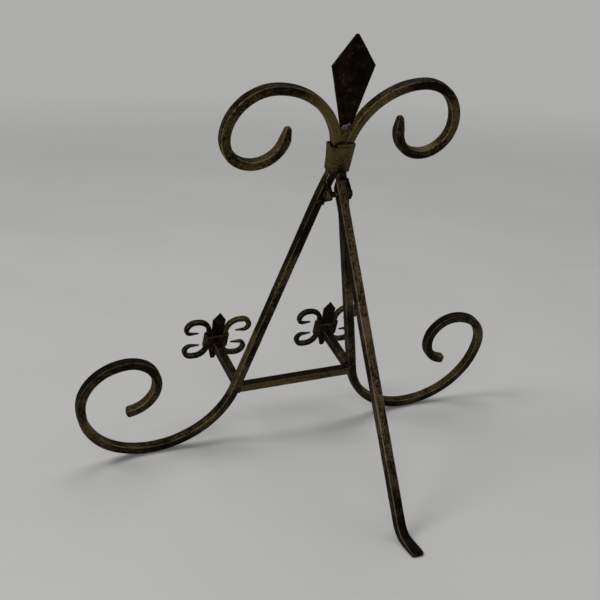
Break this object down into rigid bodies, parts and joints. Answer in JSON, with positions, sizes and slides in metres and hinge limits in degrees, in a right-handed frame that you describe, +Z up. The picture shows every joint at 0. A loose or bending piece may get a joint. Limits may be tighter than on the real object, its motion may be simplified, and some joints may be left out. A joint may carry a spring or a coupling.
{
  "type": "plate display stand",
  "caption": "Scrolled easel of square wrought bar that leans back on a folding rear leg and holds a plate on forward arms with ornamental hooks.",
  "frame": {"origin": "middle of the footprint of the open stand, on the table top", "axes": "+Z up, -Y towards the plate side (front), +Y towards the rear leg, +X across the stand"},
  "size_m": [0.3234, 0.227, 0.2985],
  "materials": {
    "iron_bar": "antique bronze paint rubbed over near-black, satin, worn along the edges of the bars",
    "bronze_rubbed": "the same paint where the bronze is rubbed on heavily, satin, olive gold",
    "dark_iron": "near-black brown base coat with faint brown streaks, satin"
  },
  "bodies": {
    "frame": {"frame_bar_right": "iron_bar", "frame_bar_left": "iron_bar", "crossbar": "bronze_rubbed", "collar_band": "bronze_rubbed", "spear_finial": "dark_iron", "support_arm_right": "iron_bar", "support_arm_left": "iron_bar", "hook_spear_right": "dark_iron", "hook_scroll_right_a": "iron_bar", "hook_scroll_right_b": "iron_bar", "hook_band_right": "dark_iron", "hook_spear_left": "dark_iron", "hook_scroll_left_a": "iron_bar", "hook_scroll_left_b": "iron_bar", "hook_band_left": "dark_iron", "hinge_lug_right": "dark_iron", "hinge_lug_left": "dark_iron", "hinge_pin": "dark_iron"},
    "leg": {"rear_leg": "iron_bar"}
  },
  "joints": [
    {"name": "leg_hinge", "type": "hinge", "parent": "frame", "child": "leg", "pos_m": [0, -0.00572, 0.19719], "axis": [-1, 0, 0], "range_deg": [0, 45]}
  ]
}
